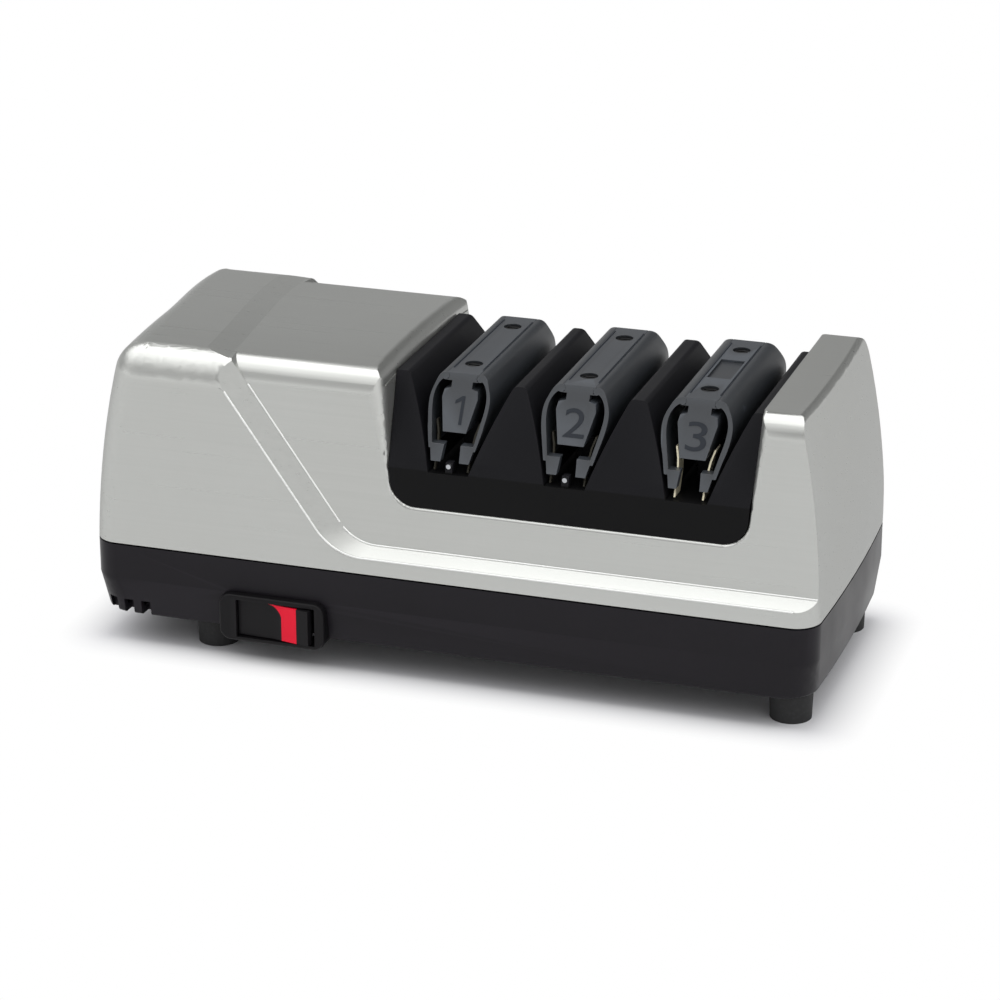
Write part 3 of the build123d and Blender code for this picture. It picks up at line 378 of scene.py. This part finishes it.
def curve_mesh(name, curve):
    """Mesh of a curve or text."""
    drawn = bpy.data.objects.new(name, curve)
    mesh = bpy.data.meshes.new_from_object(drawn)
    bpy.data.objects.remove(drawn)
    return mesh


def add_line(curve, points):
    """Straight-line spline through points."""
    line = curve.splines.new("POLY")
    line.points.add(len(points) - 1)
    for point, place in zip(line.points, points):
        point.co = (*place, 1)
    return line


def clean_copy(node):
    """Welded copy of a CAD node's mesh with its flat faces merged."""
    mesh = nodes[node].data.copy()
    for name in ("custom_normal", "sharp_face", "sharp_edge"):
        found = mesh.attributes.get(name)
        if found:
            mesh.attributes.remove(found)
    work = bmesh.new()
    work.from_mesh(mesh)
    bmesh.ops.remove_doubles(work, verts=work.verts, dist=WELD)
    bmesh.ops.dissolve_limit(
        work, angle_limit=math.radians(FLAT_ANGLE), verts=work.verts, edges=work.edges,
    )
    for face in work.faces:
        face.smooth = True
    work.to_mesh(mesh)
    work.free()
    return mesh


def between(value, limits):
    """Whether a value lies inside a pair of limits."""
    return limits[0] < value < limits[1]


def cover_edge(edge, turn):
    """Bevel weight of an edge of the cover, and whether a bead of painted highlight runs along it."""
    ends = [v.co for v in edge.verts]
    length = edge.calc_length()
    rise = abs(ends[0].z - ends[1].z)
    front = ends[0].y < 0
    on_walls = all(abs(p.y) > WALL_Y for p in ends)
    seam = on_walls and rise < SEAM_SLOPE * length and all(between(p.z, SEAM_Z) for p in ends)
    if length < SHORT_EDGE or seam:
        return 0.0, False

    lowest, highest = sorted(p.z for p in ends)
    outward = all(math.copysign(1, ends[0].y) * f.normal.y > WALL_FACING for f in edge.link_faces)
    if turn > BEND_TURN and on_walls and outward and lowest > WALL_Z[0] and lowest < WALL_Z[1]:
        slanted = rise > BAND_SLOPE * length and max(p.x for p in ends) < BAND_END_X
        return 1.0, front and length > SHORT_BEAD and (slanted or highest < LEDGE_TOP)

    on_roof = all(p.z > ROOF_BAND_Z and p.x < ROOF_BAND_X and abs(p.y) < ROOF_BAND_Y for p in ends)
    if turn > ROOF_TURN and on_roof:
        return 1.0, False
    if turn <= SHARP_TURN:
        return 0.0, False

    ledge_start = all(
        p.y < -WALL_Y and between(p.z, LEDGE_START_Z) and between(p.x, LEDGE_START_X) for p in ends
    )
    return COVER_SHARP_WEIGHT, ledge_start and abs(ends[0].x - ends[1].x) > LEDGE_START_RUN


def plain_edge(edge, turn):
    """Bevel weight of an edge of any other piece, where no bead runs."""
    return (1.0 if turn > SHARP_TURN else 0.0), False


def weigh_edges(mesh, kind_of_edge):
    """Write a mesh's bevel weights, and return the ends of each edge that carries a bead of painted highlight."""
    work = bmesh.new()
    work.from_mesh(mesh)
    layer = work.edges.layers.float.new("bevel_weight_edge")
    beads = []
    for edge in work.edges:
        if len(edge.link_faces) != 2:
            continue
        edge[layer], bead = kind_of_edge(edge, math.degrees(edge.calc_face_angle(0)))
        if bead:
            beads.append([v.co.copy() for v in edge.verts])
    work.to_mesh(mesh)
    work.free()
    return beads


def thread(name, runs, radius, look):
    """Fine raised line along each run of points."""
    curve = bpy.data.curves.new(name, "CURVE")
    curve.dimensions = "3D"
    curve.bevel_depth = radius
    curve.bevel_resolution = 1
    for run in runs:
        add_line(curve, run)
    mesh = curve_mesh(name, curve)
    for face in mesh.polygons:
        face.use_smooth = True
    add_piece(name, mesh, look, "housing")


def crease_lines(number, stage_x):
    """Fine dark creases along both sides of a guide's top, painted shade drawn as thin threads in the print colour.
    """
    mesh = nodes[f"guide_{number}"].data
    faces = BVHTree.FromPolygons([v.co for v in mesh.vertices], [p.vertices for p in mesh.polygons])
    runs = []
    for side in (-1, 1):
        run = []
        for step in range(CREASE_POINTS):
            start = (stage_x + side * CREASE_OFFSET, CREASE_FRONT_Y + step * CREASE_STEP, ABOVE_GUIDES)
            place = faces.ray_cast(Vector(start), Vector((0, 0, -1)))[0]
            if place and place.z > LOWEST_TOP:
                run.append(place + Vector((0, 0, CREASE_LIFT)))
        if len(run) > 2:
            runs.append(run)
    thread(f"crease_{number}", runs, CREASE_RADIUS, "digit_ink")


def fade(value, start, end):
    """Smooth step from 0 at start to 1 at end."""
    t = min(1.0, max(0.0, (value - start) / (end - start)))
    return t * t * (3 - 2 * t)


def lean_roof_band(mesh):
    """Lean the band on the roof to the left at its rear, and fill out the roof's rear left corner."""
    for v in mesh.vertices:
        x, y, z = v.co
        if z < ROOF_Z:
            continue
        near_band = fade(x, *LEAN_RIGHTWARD) * fade(-x, *LEAN_LEFTWARD) * fade(z, *LEAN_UPWARD)
        lean = LEAN_FRONT + LEAN_REAR * fade(y, *LEAN_REARWARD)
        corner = fade(-x, *CORNER_LEFTWARD) * fade(y, *CORNER_REARWARD) * fade(z, *CORNER_UPWARD)
        v.co.x = x + near_band * lean + CORNER_MOVE * corner


def dress(node, bevel):
    """Replace a CAD node by the same form with smooth shading, and edges bevelled as far as the mesh allows."""
    cover = node == "cover"
    mesh = clean_copy(node)
    mesh.name = node + "_dressed"
    if cover:
        lean_roof_band(mesh)
    beads = weigh_edges(mesh, cover_edge if cover else plain_edge)
    if cover:
        # Painted highlight: pale metal beads along the cover's bends stand in for the light on their rounded edges.
        thread("casing_highlight_beads", beads, BEAD_RADIUS, "painted_highlight_edge")
    piece = add_piece(node + "_dressed", mesh, slot_of[node], body_of[node])
    soften = piece.modifiers.new("soften", "BEVEL")
    soften.width = bevel
    soften.segments = 3 if cover else 2
    soften.limit_method = "WEIGHT"
    soften.use_clamp_overlap = True
    shade = piece.modifiers.new("shade", "WEIGHTED_NORMAL")
    shade.keep_sharp = True
    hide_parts(node)


def spring_half(number, stage_x, side):
    """One half of a disc spring, cut at the stage's middle, with the cut closed."""
    node = f"disc_spring_{number}"
    mesh = clean_copy(node)
    work = bmesh.new()
    work.from_mesh(mesh)
    cut = bmesh.ops.bisect_plane(
        work, geom=work.verts[:] + work.edges[:] + work.faces[:], plane_co=(stage_x, 0, 0),
        plane_no=(1 if side == "left" else -1, 0, 0), clear_outer=True,
    )["geom_cut"]
    rim = [e for e in cut if isinstance(e, bmesh.types.BMEdge)]
    bmesh.ops.triangle_fill(work, use_beauty=True, edges=rim)
    work.to_mesh(mesh)
    work.free()
    piece = add_piece(f"{node}_{side}", mesh, slot_of[node], body_of[node])
    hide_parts(node)
    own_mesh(piece)


def coat(node):
    """Give a CAD node its procedural material; the leaves of stages 1 and 2 get a darker copy of theirs as painted
    shade.
    """
    mesh = nodes[node].data
    mesh.materials.clear()
    mesh.materials.append(MATERIALS["painted_shade_strip" if node in PAINTED_SHADE_LEAVES else slot_of[node]])


def number_mesh(number):
    """Flat outline of a stage number, thickened a little: a drawn 1, and the plain built-in 2 and 3."""
    if number == 1:
        curve = bpy.data.curves.new("digit", "CURVE")
        curve.dimensions = "2D"
        add_line(curve, [(*point, 0) for point in ONE]).use_cyclic_u = True
        curve.fill_mode = "BOTH"
    else:
        curve = bpy.data.curves.new("digit", "FONT")
        curve.body = str(number)
    curve.extrude = DIGIT_DEPTH
    return curve_mesh("digit", curve)


def digit(number, stage_x):
    """Stage number printed on the sloping front of a guide, in the plane of the slope."""
    mesh = number_mesh(number)
    low = Vector([min(v.co[i] for v in mesh.vertices) for i in range(3)])
    high = Vector([max(v.co[i] for v in mesh.vertices) for i in range(3)])
    out = DIGIT_RIGHT.cross(DIGIT_UP)
    middle = Vector((stage_x + DIGIT_SHIFT, DIGIT_Y, DIGIT_Z))
    for v in mesh.vertices:
        across = ((v.co.x - low.x) / (high.x - low.x) - 0.5) * DIGIT_WIDTH[number - 1]
        along = ((v.co.y - low.y) / (high.y - low.y) - 0.5) * DIGIT_HEIGHT
        v.co = middle + DIGIT_RIGHT * across + DIGIT_UP * along + out * (v.co.z - low.z)
    add_piece(f"digit_{number}", mesh, "digit_ink", "housing")


# ---------------------------------------------------------------- stage
def make_floor():
    """Pale floor: white for the camera and in reflections, apart from the shadow near the object, where the colour
    is greyer as a painted shadow.
    """
    mesh = bpy.data.meshes.new("floor")
    work = bmesh.new()
    bmesh.ops.create_grid(work, x_segments=1, y_segments=1, size=FLOOR_SIZE)
    work.to_mesh(mesh)
    work.free()
    floor = bpy.data.objects.new("floor", mesh)
    scene.collection.objects.link(floor)

    made, n, shader = material("floor_paper")
    path = n.add("ShaderNodeLightPath").outputs
    seen = n.math("MAXIMUM", path["Is Camera Ray"], path["Is Glossy Ray"])
    seen = n.math("MAXIMUM", seen, path["Is Transmission Ray"])
    outside = n.vector("ABSOLUTE", n.add("ShaderNodeTexCoord").outputs["Object"])[0]
    outside = n.vector("SUBTRACT", outside, OUTLINE)[0]
    outside = n.vector("MAXIMUM", outside, (0, 0, 0))[0]
    reach = n.vector("LENGTH", outside)["Value"]
    # Painted shadow: the colour is grey at the object's outline and white 50 mm out.
    pale = n.ramp(reach, *PAINTED_SHADOW_REACH, 0.0, 1.0)
    n.finish(shader, Base_Color=n.mix(pale, rgb(206, 206, 209), rgb(250, 250, 250)), Roughness=0.9)
    share = n.math("MULTIPLY", seen, n.ramp(reach, *WHITE_REACH, 0.0, 1.0))
    white = n.add("ShaderNodeEmission", {"Color": (1, 1, 1, 1), "Strength": 1.0})
    both = n.add("ShaderNodeMixShader", {0: share, 1: shader.outputs[0], 2: white.outputs[0]})
    n.put(n.tree.nodes["Material Output"].inputs["Surface"], both.outputs[0])
    mesh.materials.append(made)


def make_world():
    """Soft surroundings of a studio: an even level, with brighter and darker areas added to it."""
    world = bpy.data.worlds.new("surroundings")
    scene.world = world
    world.use_nodes = True
    n = Nodes(world.node_tree)
    place = n.add("ShaderNodeTexCoord").outputs["Generated"]
    way = n.add("ShaderNodeSeparateXYZ", {"Vector": place}).outputs
    front = n.ramp(way["Y"], 0.1, -0.3, 0.0, 1.0)
    rear = n.ramp(way["Y"], 0.0, 0.3, 0.0, 1.0)
    high = n.ramp(way["Z"], 0.3, 0.6, 0.0, 1.0)
    # Each area: where it is, the direction it changes along, from where to where, and its first and last level.
    areas = (
        (front, "Z", 0.1, 0.18, 0.76, 0.0),
        (front, "Z", 0.3, 0.5, 0.36, 0.0),
        (high, "Y", 0.44, 0.38, 0.0, 2.4),
        (high, "Y", 0.38, -0.6, 0.0, -1.4),
        (high, "Y", -0.6, -0.96, 0.0, -1.0),
        (front, "X", 0.3, 0.8, 0.0, 0.3),
        (front, "X", -0.25, -0.2, 0.0, -0.22),
        (front, "X", -0.15, 0.05, 0.0, 0.18),
        (rear, "Z", 0.36, 0.46, 0.27, 0.0),
        (rear, "X", -0.19, -0.1, 0.0, -0.3),
    )
    total = 0.32
    for area, axis, low, high_end, start, end in areas:
        part = n.math("MULTIPLY", area, n.ramp(way[axis], low, high_end, start, end))
        total = n.math("ADD", part, total)
    light = n.add("ShaderNodeBackground", {"Color": (1, 1, 1, 1), "Strength": total})
    n.add("ShaderNodeOutputWorld", {"Surface": light.outputs[0]})


def area_lamp(name, place, aim, size, power):
    """Soft rectangular lamp."""
    data = bpy.data.lights.new(name, "AREA")
    data.shape = "RECTANGLE"
    data.size, data.size_y = size
    data.energy = power
    lamp = bpy.data.objects.new(name, data)
    lamp.location = place
    lamp.rotation_euler = (Vector(place) - Vector(aim)).to_track_quat("Z", "Y").to_euler()
    scene.collection.objects.link(lamp)


# ---------------------------------------------------------------- build
place_camera()
make_floor()
make_world()
area_lamp("softbox", (0.0, -0.05, 1.1), (0.0, -0.05, 0.0), (2.0, 1.1), 3)

for number, stage_x in enumerate(STAGE_X, 1):
    digit(number, stage_x)
    crease_lines(number, stage_x)
    for side in SIDES:
        spring_half(number, stage_x, side)
for name in nodes:
    if name in BEVELS:
        dress(name, BEVELS[name])
    elif slot_of[name] == "slate_grey":
        dress(name, GUIDE_BEVEL)
    elif not name.startswith("disc_spring"):
        coat(name)

scene.view_settings.view_transform = "Standard"
